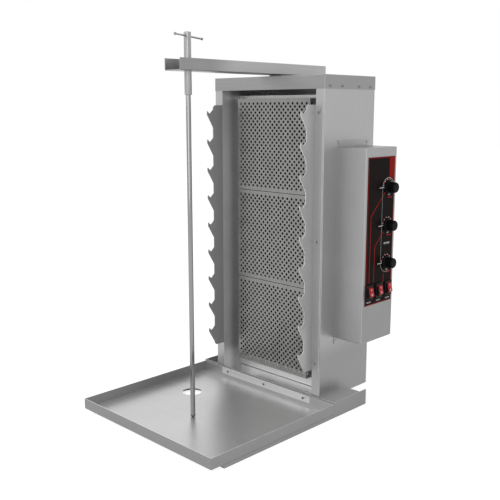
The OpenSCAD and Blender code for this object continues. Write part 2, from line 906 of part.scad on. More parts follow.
module box_screws() {
    color(bright) at_box_screws() screw();
}

// Black overlay on the panel
module panel_overlay() {
    color(dark) difference() {
        span([box_x, overlay_y0, overlay_z0], [skin_x, overlay_y1, overlay_z1]);
        panel_cuts();
    }
}

// Moves a dial's parts to its axis, counted from the lowest
module at_dial(k) {
    translate([0, dial_y, dial_z + k * dial_pitch]) children();
}

// Energy regulator with its threaded bush and nut
module regulator(k) {
    back = box_x - box_sheet - regulator_t;
    bush_end = skin_x + regulator_nut_h + 0.8;
    color("#d8d4c8") at_dial(k) difference() {
        union() {
            span([back, -regulator_w / 2, -regulator_h / 2], [back + regulator_t, regulator_w / 2, regulator_h / 2]);
            bar_x(back + regulator_t - 0.1, bush_end - back - regulator_t + 0.1, bush_thread / 2);
            translate([skin_x, 0, 0]) rotate([0, 90, 0])
                cylinder(h = regulator_nut_h, r = regulator_nut / 2, $fn = 6);
        }
        bar_x(box_x - box_sheet - shaft_back, bush_end - box_x + box_sheet + shaft_back + over,
            shaft_d / 2 + shaft_gap);
    }
}

module dial_shaft(k) {
    start = box_x - box_sheet - shaft_back + seat_gap;
    color(bright) at_dial(k) bar_x(start, shaft_front - start, shaft_d / 2);
}

// Fluted knob, hollow underneath, with a raised pointer towards the front
module knob(k) {
    rs = knob_skirt_d / 2;
    rg = knob_d / 2;
    edge = 1.6;
    color("#161616") at_dial(k) translate([knob_x, 0, 0]) rotate([0, 90, 0]) {
        difference() {
            rotate_extrude() polygon([
                [0, 0], [rs, 0], [rs, knob_skirt_h * 0.5], [rg + 1, knob_skirt_h], [rg, knob_skirt_h + 1],
                [rg - 0.4, knob_h - edge], [rg - edge, knob_h], [0, knob_h]
            ]);
            for (i = [0 : knob_flutes - 1]) rotate([0, 0, (i + 0.5) * 360 / knob_flutes])
                translate([rg + flute_r * 0.35, 0, knob_skirt_h + 1.5]) cylinder(h = knob_h, r = flute_r);
            translate([0, 0, -over]) cylinder(h = knob_hollow_h + over, r = knob_hollow_d / 2);
            cylinder(h = knob_h - knob_wall, r = shaft_d / 2);
        }
        translate([-0.9, 1.5 - rg, knob_h - 0.2]) cube([1.8, rg - 3, 0.8]);
    }
}

// Moves a switch's parts to its place, counted from the front
module at_switch(k) {
    translate([0, switch_y + (k - 1) * switch_pitch, switch_z]) children();
}

// Housing of a rocker switch, with its bezel and its blade terminals
module switch_housing(k) {
    back = bezel_x - switch_depth;
    color("#22211f") at_switch(k) difference() {
        union() {
            span([skin_x, -bezel_w / 2, -bezel_h / 2], [bezel_x, bezel_w / 2, bezel_h / 2]);
            span([back, -switch_body_w / 2, -switch_body_h / 2], [bezel_x, switch_body_w / 2, switch_body_h / 2]);
            for (z = [-blade_pitch / 2, blade_pitch / 2])
                span([back - blade_len, -blade_w / 2, z - blade_t / 2], [back + blade_root, blade_w / 2, z + blade_t / 2]);
        }
        span([pivot_x - well_depth, -mouth_w / 2, -mouth_h / 2], [bezel_x + over, mouth_w / 2, mouth_h / 2]);
        translate([pivot_x, 0, 0]) rotate([90, 0, 0]) translate([0, 0, -switch_body_w / 2])
            cylinder(h = switch_body_w, r = trunnion_r + shaft_gap);
    }
}

// Rocker, pressed in at its top
module rocker(k) {
    rise = rocker_r * tan(rocker_vee);
    color("#b81d28") at_switch(k) translate([pivot_x, 0, 0]) rotate([0, -rocker_tilt, 0]) rotate([90, 0, 0]) {
        translate([0, 0, -rocker_w / 2]) linear_extrude(rocker_w) intersection() {
            circle(r = rocker_r, $fn = 64);
            polygon([
                [-rocker_back, -rocker_r], [rocker_crown + rise, -rocker_r], [rocker_crown, 0],
                [rocker_crown + rise, rocker_r], [-rocker_back, rocker_r]
            ]);
        }
        translate([0, 0, -rocker_w / 2 - trunnion_len]) cylinder(h = rocker_w + 2 * trunnion_len, r = trunnion_r);
    }
}

// Terminal block on the cabinet's side, inside the control box
module terminal_block() {
    ways = 5;
    pitch = block_w / ways;
    color("#d9d5c6") difference() {
        span([half_w, block_y, block_z], [half_w + block_t, block_y + block_w, block_z + block_h]);
        for (i = [0 : ways - 1], z = [6, block_h - 6]) translate([0, block_y + (i + 0.5) * pitch, block_z + z])
            bar_x(half_w + 5, block_t, 2.2);
    }
}

// Cable gland in the underside of the control box, with its locknut inside
module cable_gland() {
    color("#303030") translate([gland_x, gland_y, 0]) {
        difference() {
            union() {
                translate([0, 0, box_z - gland_nut_h]) cylinder(h = gland_nut_h, r = gland_nut / 2, $fn = 6);
                translate([0, 0, box_z - gland_len])
                    cylinder(h = gland_len - gland_nut_h, r1 = gland_bore / 2 + 2.5, r2 = gland_d / 2 + 2);
                translate([0, 0, box_z - 0.1]) cylinder(h = gland_thread, r = gland_d / 2);
            }
            translate([0, 0, box_z - gland_len - over])
                cylinder(h = gland_len + gland_thread + 2 * over, r = gland_bore / 2);
        }
        translate([0, 0, box_z + box_sheet]) difference() {
            cylinder(h = locknut_h, r = gland_nut / 2, $fn = 6);
            translate([0, 0, -over]) cylinder(h = locknut_h + 2 * over, r = gland_d / 2 + slip);
        }
    }
}

// Grommet in the wire passage
module wire_grommet() {
    r = passage_d / 2;
    color("#1c1c1c") translate([inner_half, passage_y, passage_z]) rotate([0, 90, 0]) rotate_extrude() polygon([
        [grommet_bore / 2, -grommet_t], [r + grommet_lip, -grommet_t], [r + grommet_lip, 0], [r - slip, 0],
        [r - slip, sheet], [r + grommet_lip, sheet], [r + grommet_lip, sheet + grommet_t],
        [grommet_bore / 2, sheet + grommet_t]
    ]);
}

// Straight stretch of the loom along an axis, with its start reaching over the stretch before it
module lead(turn, from, len, d, lap) {
    translate(from) rotate(turn) translate([0, 0, -lap]) cylinder(h = len + lap, r = d / 2);
}

// Wiring from the passage to the dials, the switches and the terminal block
module wiring_loom() {
    rise = [0, 0, 0];
    inward = [-90, 0, 0];
    outward = [0, 90, 0];
    foot_z = block_z + block_h / 2;
    top_z = dial_z + 2 * dial_pitch;
    dial_run = box_x - box_sheet - regulator_t - loom_x;
    switch_run = bezel_x - switch_depth - loom_x;
    lap = branch_d / 2;
    thin = branch_d - 0.6;
    inner_x = inner_half - loom_inside;
    pin_x = run_half - pin_d / 2 + loom_gap;
    color("#2a2a2a") {
        lead(outward, [inner_x, passage_y, passage_z], loom_x - inner_x, loom_d - 1, 0);
        lead(rise, [inner_x, passage_y, pin_z(0, -1)], pin_z(screen_count - 1, 1) - pin_z(0, -1), loom_d - 2, lap);
        for (k = [0 : screen_count - 1], end = [-1, 1])
            lead(outward, [pin_x, passage_y, pin_z(k, end)], inner_x - pin_x, lead_d, 0);
        lead(rise, [loom_x, passage_y, foot_z], top_z - foot_z, loom_d, loom_d / 2);
        lead(inward, [loom_x, passage_y, foot_z], block_y - passage_y, branch_d, 0);
        for (k = [0 : 2]) {
            lead(inward, [loom_x, passage_y, dial_z + k * dial_pitch], dial_y - passage_y + lap, branch_d, 0);
            lead(outward, [loom_x, dial_y, dial_z + k * dial_pitch], dial_run, thin, 0);
        }
        lead(inward, [loom_x, passage_y, switch_z], switch_y - passage_y + lap, branch_d, 0);
        lead(outward, [loom_x, switch_y, switch_z], switch_run, thin, 0);
    }
}

base_pan();
base_deck();
drip_tray();
tray_strip();
strip_screws();
side_panel_left();
side_panel_right();
liner_left();
liner_right();
burner_plate();
cabinet_bottom();
insulation_board();
heat_shield();
rear_panel();
header_cap();
header_screws();
arm_pad();
arm_channel();
arm_bush();
arm_bolts();
skewer_rod();
skewer_tip();
skewer_sleeve();
handle_bar();
rack_left();
rack_right();
rack_screws();
screen(0);  // screen_1
screen(1);  // screen_2
screen(2);  // screen_3
heater_plate(0);  // heater_plate_1
heater_plate(1);  // heater_plate_2
heater_plate(2);  // heater_plate_3
heating_element(0);  // heating_element_1
heating_element(1);  // heating_element_2
heating_element(2);  // heating_element_3
control_box();
box_screws();
panel_overlay();
regulator(0);  // regulator_1
regulator(1);  // regulator_2
regulator(2);  // regulator_3
dial_shaft(0);  // dial_shaft_1
dial_shaft(1);  // dial_shaft_2
dial_shaft(2);  // dial_shaft_3
knob(0);  // knob_1
knob(1);  // knob_2
knob(2);  // knob_3
switch_housing(0);  // switch_housing_1
switch_housing(1);  // switch_housing_2
switch_housing(2);  // switch_housing_3
rocker(0);  // rocker_1
rocker(1);  // rocker_2
rocker(2);  // rocker_3
terminal_block();
cable_gland();
wire_grommet();
wiring_loom();
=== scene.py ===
import math

import bmesh
import bpy
from mathutils import Matrix, Vector


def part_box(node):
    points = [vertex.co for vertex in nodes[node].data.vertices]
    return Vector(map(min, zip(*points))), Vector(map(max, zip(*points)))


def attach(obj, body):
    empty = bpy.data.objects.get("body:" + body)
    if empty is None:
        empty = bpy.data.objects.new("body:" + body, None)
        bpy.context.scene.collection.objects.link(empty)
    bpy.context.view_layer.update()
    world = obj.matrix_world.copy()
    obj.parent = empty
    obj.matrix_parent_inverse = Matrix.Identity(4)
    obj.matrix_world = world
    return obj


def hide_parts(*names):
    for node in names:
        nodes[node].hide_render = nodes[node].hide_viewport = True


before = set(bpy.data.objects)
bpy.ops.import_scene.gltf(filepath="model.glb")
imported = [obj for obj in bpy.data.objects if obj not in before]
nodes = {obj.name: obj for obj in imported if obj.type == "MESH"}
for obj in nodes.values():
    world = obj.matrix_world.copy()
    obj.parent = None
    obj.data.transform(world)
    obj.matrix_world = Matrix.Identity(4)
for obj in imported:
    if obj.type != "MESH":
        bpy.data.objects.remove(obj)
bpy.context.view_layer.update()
scene = bpy.context.scene
print("frame loaded,", len(nodes), "parts")

mm = 0.001


# colours and node helpers

def linear(hexColour):
    # sRGB hex to the linear values that a shader takes, with full cover
    value = hexColour.lstrip("#")
    channels = [int(value[i:i + 2], 16) / 255 for i in (0, 2, 4)]
    return tuple(c / 12.92 if c <= 0.04045 else ((c + 0.055) / 1.055) ** 2.4 for c in channels) + (1.0,)


def addNode(tree, kind, settings=None, inputs=None):
    # adds one node with its settings; an input is a value or the socket that feeds it
    node = tree.nodes.new(kind)
    for name, value in (settings or {}).items():
        setattr(node, name, value)
    for key, value in (inputs or {}).items():
        if isinstance(value, bpy.types.NodeSocket):
            tree.links.new(value, node.inputs[key])
        else:
            node.inputs[key].default_value = value
    return node


def startMaterial(name, constants):
    material = bpy.data.materials.new(name)
    material.use_nodes = True
    tree = material.node_tree
    tree.nodes.clear()
    shader = addNode(tree, "ShaderNodeBsdfPrincipled", None, constants)
    output = addNode(tree, "ShaderNodeOutputMaterial")
    tree.links.new(shader.outputs["BSDF"], output.inputs["Surface"])
    return material, tree, shader


def grainNoise(tree, sizeMm, detail, rough):
    # noise whose grains measure sizeMm along x, y and z of the object
    place = addNode(tree, "ShaderNodeTexCoord")
    counted = addNode(tree, "ShaderNodeMapping", None, {
        "Vector": place.outputs["Object"], "Scale": tuple(1000.0 / size for size in sizeMm)})
    return addNode(tree, "ShaderNodeTexNoise", None, {
        "Vector": counted.outputs["Vector"], "Scale": 1.0, "Detail": detail, "Roughness": rough}).outputs["Fac"]


def remap(tree, source, low, high, fromLow=0.3, fromHigh=0.7):
    # most of a noise's values lie between 0.3 and 0.7
    return addNode(tree, "ShaderNodeMapRange", None, {
        "Value": source, "From Min": fromLow, "From Max": fromHigh,
        "To Min": low, "To Max": high}).outputs["Result"]


def blendColours(tree, factor, darker, lighter):
    mix = addNode(tree, "ShaderNodeMix", {"data_type": "RGBA"}, {
        0: factor, 6: linear(darker), 7: linear(lighter)})
    return mix.outputs[2]


def bumpFrom(tree, height, distanceMm, strength):
    return addNode(tree, "ShaderNodeBump", None, {
        "Height": height, "Distance": distanceMm * mm, "Strength": strength}).outputs["Normal"]


# materials

def shadeAlong(tree, tone, axis, fullAt, shadedAt, share):
    # the tone is whole at fullAt along an axis, in millimetres, and falls to a share of itself at the other end:
    # painted shade, darker towards one end of the part
    place = addNode(tree, "ShaderNodeTexCoord")
    along = addNode(tree, "ShaderNodeSeparateXYZ", None, {0: place.outputs["Object"]})
    kept = addNode(tree, "ShaderNodeMapRange", {"interpolation_type": "SMOOTHSTEP"}, {
        "Value": along.outputs[axis], "From Min": fullAt * mm, "From Max": shadedAt * mm,
        "To Min": 1.0, "To Max": share})
    return addNode(tree, "ShaderNodeVectorMath", {"operation": "SCALE"}, {
        0: tone, "Scale": kept.outputs["Result"]}).outputs["Vector"]


brushing = {
    "streakShare": 0.6, "cloudShare": 0.4,   # how much of the tone each of them gives
    "cloudMm": 140,                          # size of the soft clouds left by cleaning
    "heightMm": 0.02, "strength": 0.25,      # relief of the streaks
}


def brushedStainless(name, darker, lighter, grain, roughLow, roughHigh, metallic=0.8, paintedShade=None):
    # 304 sheet, satin brushed with a belt: long fine streaks, soft wide reflections
    # the real streaks are 0.1 mm apart, drawn 2 to 3 mm apart so that they show
    material, tree, shader = startMaterial(name, {"Metallic": metallic})
    streak = grainNoise(tree, grain, 4.0, 0.6)
    cloud = grainNoise(tree, (brushing["cloudMm"],) * 3, 2.0, 0.5)
    clouds = addNode(tree, "ShaderNodeMath", {"operation": "MULTIPLY"}, {0: cloud, 1: brushing["cloudShare"]})
    both = addNode(tree, "ShaderNodeMath", {"operation": "MULTIPLY_ADD"}, {
        0: streak, 1: brushing["streakShare"], 2: clouds.outputs[0]})
    tone = blendColours(tree, remap(tree, both.outputs[0], 0.0, 1.0, 0.35, 0.65), darker, lighter)
    tree.links.new(shadeAlong(tree, tone, *paintedShade) if paintedShade else tone, shader.inputs["Base Color"])
    tree.links.new(remap(tree, streak, roughLow, roughHigh), shader.inputs["Roughness"])
    relief = bumpFrom(tree, streak, brushing["heightMm"], brushing["strength"])
    tree.links.new(relief, shader.inputs["Normal"])
    return material


def plainMetal(name, darker, lighter, grain, roughLow, roughHigh, metallic=0.85, paintedShade=None):
    # metal without a brushed direction, slightly uneven from rolling, turning or plating
    material, tree, shader = startMaterial(name, {"Metallic": metallic})
    uneven = grainNoise(tree, grain, 3.0, 0.5)
    tone = blendColours(tree, remap(tree, uneven, 0.0, 1.0), darker, lighter)
    tree.links.new(shadeAlong(tree, tone, *paintedShade) if paintedShade else tone, shader.inputs["Base Color"])
    tree.links.new(remap(tree, uneven, roughLow, roughHigh), shader.inputs["Roughness"])
    return material


def mouldedPlastic(name, darker, lighter, sparkMm, rough, ior=1.53, bumpMm=0.02, gloss=0.2):
    # moulded in a spark-eroded tool or pressed from powder: an even satin skin
    material, tree, shader = startMaterial(name, {"Metallic": 0.0, "IOR": ior, "Specular IOR Level": gloss})
    skin = grainNoise(tree, (sparkMm, sparkMm, sparkMm), 2.0, 0.6)
    tone = blendColours(tree, remap(tree, skin, 0.0, 1.0), darker, lighter)
    tree.links.new(tone, shader.inputs["Base Color"])
    tree.links.new(remap(tree, skin, rough - 0.04, rough + 0.06), shader.inputs["Roughness"])
    tree.links.new(bumpFrom(tree, skin, bumpMm, 0.3), shader.inputs["Normal"])
    return material


def printedFilm(name, darker, lighter, rough):
    # polyester film, screen printed: flat ink under a faint orange-peel gloss
    material, tree, shader = startMaterial(name, {"Metallic": 0.0, "IOR": 1.57, "Specular IOR Level": 0.02})
    peel = grainNoise(tree, (1.6, 1.6, 1.6), 2.0, 0.5)
    tone = blendColours(tree, remap(tree, peel, 0.0, 1.0), darker, lighter)
    tree.links.new(tone, shader.inputs["Base Color"])
    tree.links.new(remap(tree, peel, rough - 0.03, rough + 0.05), shader.inputs["Roughness"])
    tree.links.new(bumpFrom(tree, peel, 0.01, 0.2), shader.inputs["Normal"])
    return material


def clearPlastic(name, darker, lighter):
    # polycarbonate moulded in clear red: deep colour, wet gloss
    material, tree, shader = startMaterial(name, {
        "Metallic": 0.0, "IOR": 1.58, "Specular IOR Level": 0.12, "Coat Weight": 0.03, "Coat Roughness": 0.1})
    swirl = grainNoise(tree, (7, 7, 7), 2.0, 0.5)
    tone = blendColours(tree, remap(tree, swirl, 0.0, 1.0), darker, lighter)
    tree.links.new(tone, shader.inputs["Base Color"])
    tree.links.new(remap(tree, swirl, 0.22, 0.32), shader.inputs["Roughness"])
    return material


finishes = {
    # brushed 304 sheet, one material for each way the belt ran; their tones are lit and shaded copies of one sheet,
    # painted light and shade, the upright one lighter than the crosswise one as a painted highlight
    "uprightSteel": brushedStainless(
        "stainless_brushed_upright", "#a8a8a8", "#aeaeae", (2.5, 2.5, 160), 0.34, 0.42),
    # painted shade: the side panels and the control box's face darken towards their foot
    "panelShadedSteel": brushedStainless(
        "stainless_brushed_panel_painted_shade", "#a8a8a8", "#aeaeae", (2.5, 2.5, 160), 0.34, 0.42, paintedShade=("Z", 200, 125, 0.72)),
    "crosswiseSteel": brushedStainless(
        "stainless_brushed_crosswise", "#8f8f8f", "#969696", (160, 2.5, 2.5), 0.32, 0.40),
    "lengthwiseSteel": brushedStainless(
        "stainless_brushed_lengthwise", "#9b9b9b", "#a3a3a3", (2.5, 160, 2.5), 0.34, 0.42),
    # painted light and shade: the arm's outer sides are lighter than its other faces and darken towards its free end
    "armLitShadedSteel": brushedStainless(
        "stainless_brushed_arm_painted_light_shade", "#ababab", "#b4b4b4", (2.5, 160, 2.5), 0.34, 0.42, paintedShade=("Y", -120, -215, 0.66)),
    # painted shade: a darker copy of the sheet for the tray's outer walls and the pan, which face sideways
    "wallShadedSteel": brushedStainless(
        "stainless_brushed_tray_walls_painted_shade", "#858585", "#8c8c8c", (160, 160, 2.5), 0.36, 0.44),
    "boxSteel": brushedStainless(
        "stainless_brushed_control_box", "#9f9f9f", "#a5a5a5", (2.5, 2.5, 160), 0.34, 0.42),
    # painted shade: the control box's face darkens towards its bottom
    "boxFaceShadedSteel": brushedStainless(
        "stainless_brushed_control_face_painted_shade", "#9f9f9f", "#a5a5a5", (2.5, 2.5, 160), 0.34, 0.42,
        paintedShade=("Z", 480, 260, 0.76)),
    "rackSteel": brushedStainless(
        "stainless_laser_cut_racks", "#a6a6a6", "#adadad", (2.0, 2.0, 90), 0.34, 0.42, 0.5),
    # painted light: a much lighter copy of the sheet for the tray's floor, as lit from above; the burner plate and
    # the pan's floor take it too
    "traySteel": brushedStainless("stainless_tray_painted_light", "#c9c9c9", "#d3d3d3", (160, 3.0, 3.0), 0.30, 0.36),
    # bright annealed sheet: nearly a mirror, with the roll's faint haze
    "brightSteel": plainMetal("stainless_bright_annealed", "#c4c4c4", "#cccccc", (60, 60, 60), 0.34, 0.40),
    "mirrorSteel": plainMetal("stainless_mirror_polished", "#f0f0f0", "#f5f5f5", (60, 60, 60), 0.06, 0.09, 1.0),
    # painted light and shade: the liners are much lighter than the rest of the sheet, and darken towards the screens
    "linerSteel": plainMetal(
        "stainless_liner_painted_light_shade", "#dddddd", "#e4e4e4", (60, 60, 60), 0.38, 0.44, 0.6, paintedShade=("Y", 16, 42, 0.55)),
    # sheared edges: a rougher finish for their real scatter, and a bright tone that paints a highlight line along
    # them
    "edgeHighlightSteel": plainMetal("stainless_deburred_edge_painted_highlight", "#dadada", "#e4e4e4", (4, 4, 4), 0.46, 0.56, 0.45),
    "screenSteel": plainMetal("stainless_perforated_sheet", "#828281", "#8d8d8c", (18, 18, 40), 0.32, 0.40),
    # centreless ground bar: a bright line along its length
    "groundRod": plainMetal("stainless_ground_rod", "#8d8d8d", "#929292", (1.5, 1.5, 200), 0.15, 0.17),
    "sleeveTube": plainMetal("stainless_drawn_tube", "#979797", "#a6a6a6", (4, 4, 60), 0.30, 0.38),
    "hardTip": plainMetal("steel_hardened_tip", "#55555f", "#6e6e7c", (3, 3, 3), 0.34, 0.46),
    "zincScrew": plainMetal("steel_zinc_plated_screw", "#b4b4b2", "#cfcfcd", (2, 2, 2), 0.24, 0.36),
    "darkScrew": plainMetal("steel_blackened_screw", "#565655", "#6a6a68", (2, 2, 2), 0.36, 0.50),
    "dullScrew": plainMetal("steel_passivated_screw", "#838382", "#949492", (2, 2, 2), 0.36, 0.50),
    "sinteredBronze": plainMetal("bronze_sintered_bush", "#8a6a38", "#a5834b", (1.5, 1.5, 1.5), 0.40, 0.55),
    "heaterTube": plainMetal("heater_tube_oxidised", "#3b342e", "#57493c", (5, 5, 5), 0.50, 0.65),
    # moulded parts
    "knobPlastic": mouldedPlastic("abs_moulded_knob", "#070707", "#0f0f0f", 0.8, 0.36, gloss=0.05),
    "bezelPlastic": mouldedPlastic("nylon_moulded_bezel", "#111111", "#1a1a1a", 0.9, 0.42, gloss=0.1),
    "glandPlastic": mouldedPlastic("nylon_moulded_gland", "#232323", "#303030", 1.0, 0.45),
    "phenolicWhite": mouldedPlastic("steatite_pressed_body", "#cfcabb", "#dfdbcf", 1.5, 0.45),
    "rubber": mouldedPlastic("rubber_grommet", "#161616", "#222222", 0.8, 0.62, 1.52),
    "leadSleeve": mouldedPlastic("silicone_lead_sleeve", "#1e1e1e", "#2c2c2c", 1.2, 0.5, 1.43),
    # fired and pressed boards
    "firedCeramic": mouldedPlastic("cordierite_fired_plate", "#15110e", "#2a221b", 2.5, 0.82, 1.54, 0.15),
    "mineralBoard": mouldedPlastic("mineral_wool_board", "#b3a98d", "#d6cdb6", 3.0, 0.92, 1.5, 0.4),
    # the panel's film and inks, and the rockers
    "blackFilm": printedFilm("polyester_overlay_black", "#120e0d", "#1a1513", 0.34),
    "redInk": printedFilm("ink_screen_printed_red", "#7c1310", "#8b1914", 0.38),
    "brightRedInk": printedFilm("ink_screen_printed_bright_red", "#a81812", "#b82018", 0.38),
    "darkRedInk": printedFilm("ink_screen_printed_border", "#6c100e", "#7b1612", 0.38),
    "whiteInk": printedFilm("ink_screen_printed_white", "#d3d3d0", "#e6e6e3", 0.40),
    "greyInk": printedFilm("ink_screen_printed_grey", "#8b8b89", "#9c9c9a", 0.40),
    "rockerRed": clearPlastic("polycarbonate_moulded_rocker", "#93101a", "#a61a27"),
}


print("materials made:", len(finishes))


# making and placing pieces

def linkObject(name, mesh):
    piece = bpy.data.objects.new(name, mesh)
    scene.collection.objects.link(piece)
    return piece


def plainCopy(work, name):
    # the evaluated shape as a plain mesh, with nothing live left on it
    bpy.context.view_layer.update()
    graph = bpy.context.evaluated_depsgraph_get()
    mesh = bpy.data.meshes.new_from_object(work.evaluated_get(graph))
    bpy.data.objects.remove(work)
    return linkObject(name, mesh)


def setFinish(piece, finish):
    piece.data.materials.clear()
    piece.data.materials.append(finishes[finish])


def smoothFaces(mesh, angle):
    mesh.shade_smooth()
    mesh.set_sharp_from_angle(angle=math.radians(angle))


def settle(piece, body, replaced=()):
    # hands a finished piece to the frame
    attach(piece, body)
    if replaced:
        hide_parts(*replaced)
    return piece


softening = {
    "mergeM": 1e-6,           # corners nearer than this are one corner
    "flatDegrees": 0.5,       # faces that turn less than this are one face
    "sheetMm": 1.7,           # a little over the thickest sheet
    "cornerDegrees": 57.3,    # an edge of a sheared face turns more than this
    "cornerShare": 0.7,       # part of a sheared face's outline that is such a corner
    "foldDegrees": 68.8,      # a fold turns more than this
    "leastFoldedMm": 6.0,     # a fold lies between faces wider than this
    "foldSteps": 4, "edgeSteps": 2,
    "brokenDegrees": 40,      # edges that turn more than this are broken
}


def mergedSolid(mesh):
    # the loose triangles of a CAD node as one closed solid with whole flat faces
    solid = bmesh.new()
    solid.from_mesh(mesh)
    bmesh.ops.remove_doubles(solid, verts=solid.verts, dist=softening["mergeM"])
    bmesh.ops.dissolve_limit(
        solid, angle_limit=math.radians(softening["flatDegrees"]), verts=solid.verts, edges=solid.edges)
    return solid


def turnsMore(edge, degrees):
    return len(edge.link_faces) == 2 and edge.calc_face_angle() > math.radians(degrees)


def isSheared(face):
    # a face no wider than the sheet, with corners along both sides, is a sheared edge
    outline = face.calc_perimeter()
    corners = sum(edge.calc_length() for edge in face.edges if turnsMore(edge, softening["cornerDegrees"]))
    narrow = 2 * face.calc_area() / outline < softening["sheetMm"] * mm
    return narrow and corners > softening["cornerShare"] * outline


def isFold(edge):
    if not edge.is_convex or not turnsMore(edge, softening["foldDegrees"]):
        return False
    widths = [face.calc_area() / max(side.calc_length() for side in face.edges) for face in edge.link_faces]
    return min(widths) > softening["leastFoldedMm"] * mm


def breakEdges(work, edgeMm, degrees):
    bevel = work.modifiers.new("brokenEdges", "BEVEL")
    bevel.width = edgeMm * mm
    bevel.segments = softening["edgeSteps"]
    bevel.limit_method = "ANGLE"
    bevel.angle_limit = math.radians(degrees)


def softenedCopy(node, finish, foldMm, edgeMm):
    # a copy of a bent sheet part with rounded folds and broken edges; sheared edges have their own bright finish, a
    # painted highlight line
    mesh = nodes[node].data.copy()
    mesh.materials.clear()
    mesh.materials.append(finishes[finish])
    mesh.materials.append(finishes["edgeHighlightSteel"])
    solid = mergedSolid(mesh)
    for face in solid.faces:
        face.material_index = 1 if isSheared(face) else 0
    wide = [face for face in solid.faces if len(face.verts) > 4]
    bmesh.ops.triangulate(solid, faces=wide, quad_method="BEAUTY", ngon_method="EAR_CLIP")
    if foldMm:
        folds = [edge for edge in solid.edges if isFold(edge)]
        bmesh.ops.bevel(
            solid, geom=folds, offset=foldMm * mm, segments=softening["foldSteps"], profile=0.5, affect="EDGES")
    solid.to_mesh(mesh)
    solid.free()
    mesh.shade_smooth()
    work = linkObject(node + "_work", mesh)
    breakEdges(work, edgeMm, softening["brokenDegrees"])
    # the wide faces set the shading, so that they stay flat up to their edges
    flat = work.modifiers.new("flatFaces", "WEIGHTED_NORMAL")
    flat.weight = 100
    piece = plainCopy(work, "soft_" + node)
    return settle(piece, "frame", [node])


sheetParts = {
    # part: (finish, slot, radius of the folds, width of the broken edges), in millimetres
    "base_pan": ("wallShadedSteel", "steel", 0.9, 0.25),
    "drip_tray": ("traySteel", "polished", 0.9, 0.25),
    "header_cap": ("crosswiseSteel", "steel", 1.2, 0.25),
    "side_panel_left": ("uprightSteel", "steel", 1.6, 0.3),
    "side_panel_right": ("uprightSteel", "steel", 1.6, 0.3),
    "arm_channel": ("lengthwiseSteel", "steel", 2.2, 0.4),
    "arm_pad": ("crosswiseSteel", "steel", 0.0, 0.5),
    "control_box": ("boxSteel", "steel", 2.6, 0.25),
    "rack_left": ("rackSteel", "steel", 0.0, 0.3),
    "rack_right": ("rackSteel", "steel", 0.0, 0.3),
    "tray_strip": ("brightSteel", "polished", 0.0, 0.3),
    "rear_panel": ("uprightSteel", "steel", 0.0, 0.3),
}
sheetPieces = {
    part: softenedCopy(part, finish, foldMm, edgeMm)
    for part, (finish, slot, foldMm, edgeMm) in sheetParts.items()}
print("sheet parts softened:", len(sheetPieces))


# single faces of the sheet parts with a finish of their own

faceDepths = {"outer": 0.5, "wall": 3.0, "floor": 5.0}   # how deep these faces lie in the part's box, at most


def depthInside(box, face, sides):
    # how far a face lies inside a part's box, from the nearest of the named sides
    low, high = box
    middle = face.center
    depths = {
        "left": middle.x - low.x, "right": high.x - middle.x,
        "front": middle.y - low.y, "back": high.y - middle.y}
    return min(depths[side] for side in sides) / mm


def paintOutside(part, sides, finish):
    piece, box = sheetPieces[part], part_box(part)
    piece.data.materials.append(finishes[finish])
    for face in piece.data.polygons:
        if face.material_index == 0 and depthInside(box, face, sides) < faceDepths["outer"]:
            face.material_index = 2


def paintTrayWalls():
    # painted shade: the tray's walls get other brushing and darker tones than its floor, darkest outside
    piece, box = sheetPieces["drip_tray"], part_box("drip_tray")
    piece.data.materials.append(finishes["lengthwiseSteel"])
    piece.data.materials.append(finishes["wallShadedSteel"])
    for face in piece.data.polygons:
        depth = depthInside(box, face, ("left", "right", "front", "back"))
        if face.material_index == 0 and abs(face.normal.z) < 0.5 and depth < faceDepths["wall"]:
            face.material_index = 3 if depth < faceDepths["outer"] else 2


def paintPanFloor():
    # painted light: the pan's floor, in shade under the tray and seen through the drain, gets the tray's bright
    # finish
    piece = sheetPieces["base_pan"]
    piece.data.materials.append(finishes["traySteel"])
    for face in piece.data.polygons:
        if face.normal.z > 0.5 and face.center.z < faceDepths["floor"] * mm:
            face.material_index = 2


paintTrayWalls()
paintPanFloor()
# painted shade: the outer faces of the side panels, the control box's face and the arm's sides get darkening finishes
paintOutside("side_panel_left", ("left",), "panelShadedSteel")
paintOutside("side_panel_right", ("right",), "panelShadedSteel")
paintOutside("control_box", ("right",), "boxFaceShadedSteel")
paintOutside("arm_channel", ("left", "right"), "armLitShadedSteel")
print("faces of the sheet parts painted")


smoothing = {"curveDegrees": 35}   # edges that turn more than this are broken, the rest are curves


def smoothedCopy(node, finish, body, edgeMm):
    # a copy of a turned or moulded part with its edges broken and its curves shaded smooth
    mesh = nodes[node].data.copy()
    solid = mergedSolid(mesh)
    solid.to_mesh(mesh)
    solid.free()
    work = linkObject(node + "_work", mesh)
    breakEdges(work, edgeMm, smoothing["curveDegrees"])
    piece = plainCopy(work, "soft_" + node)
    smoothFaces(piece.data, smoothing["curveDegrees"])
    setFinish(piece, finish)
    return settle(piece, body, [node])


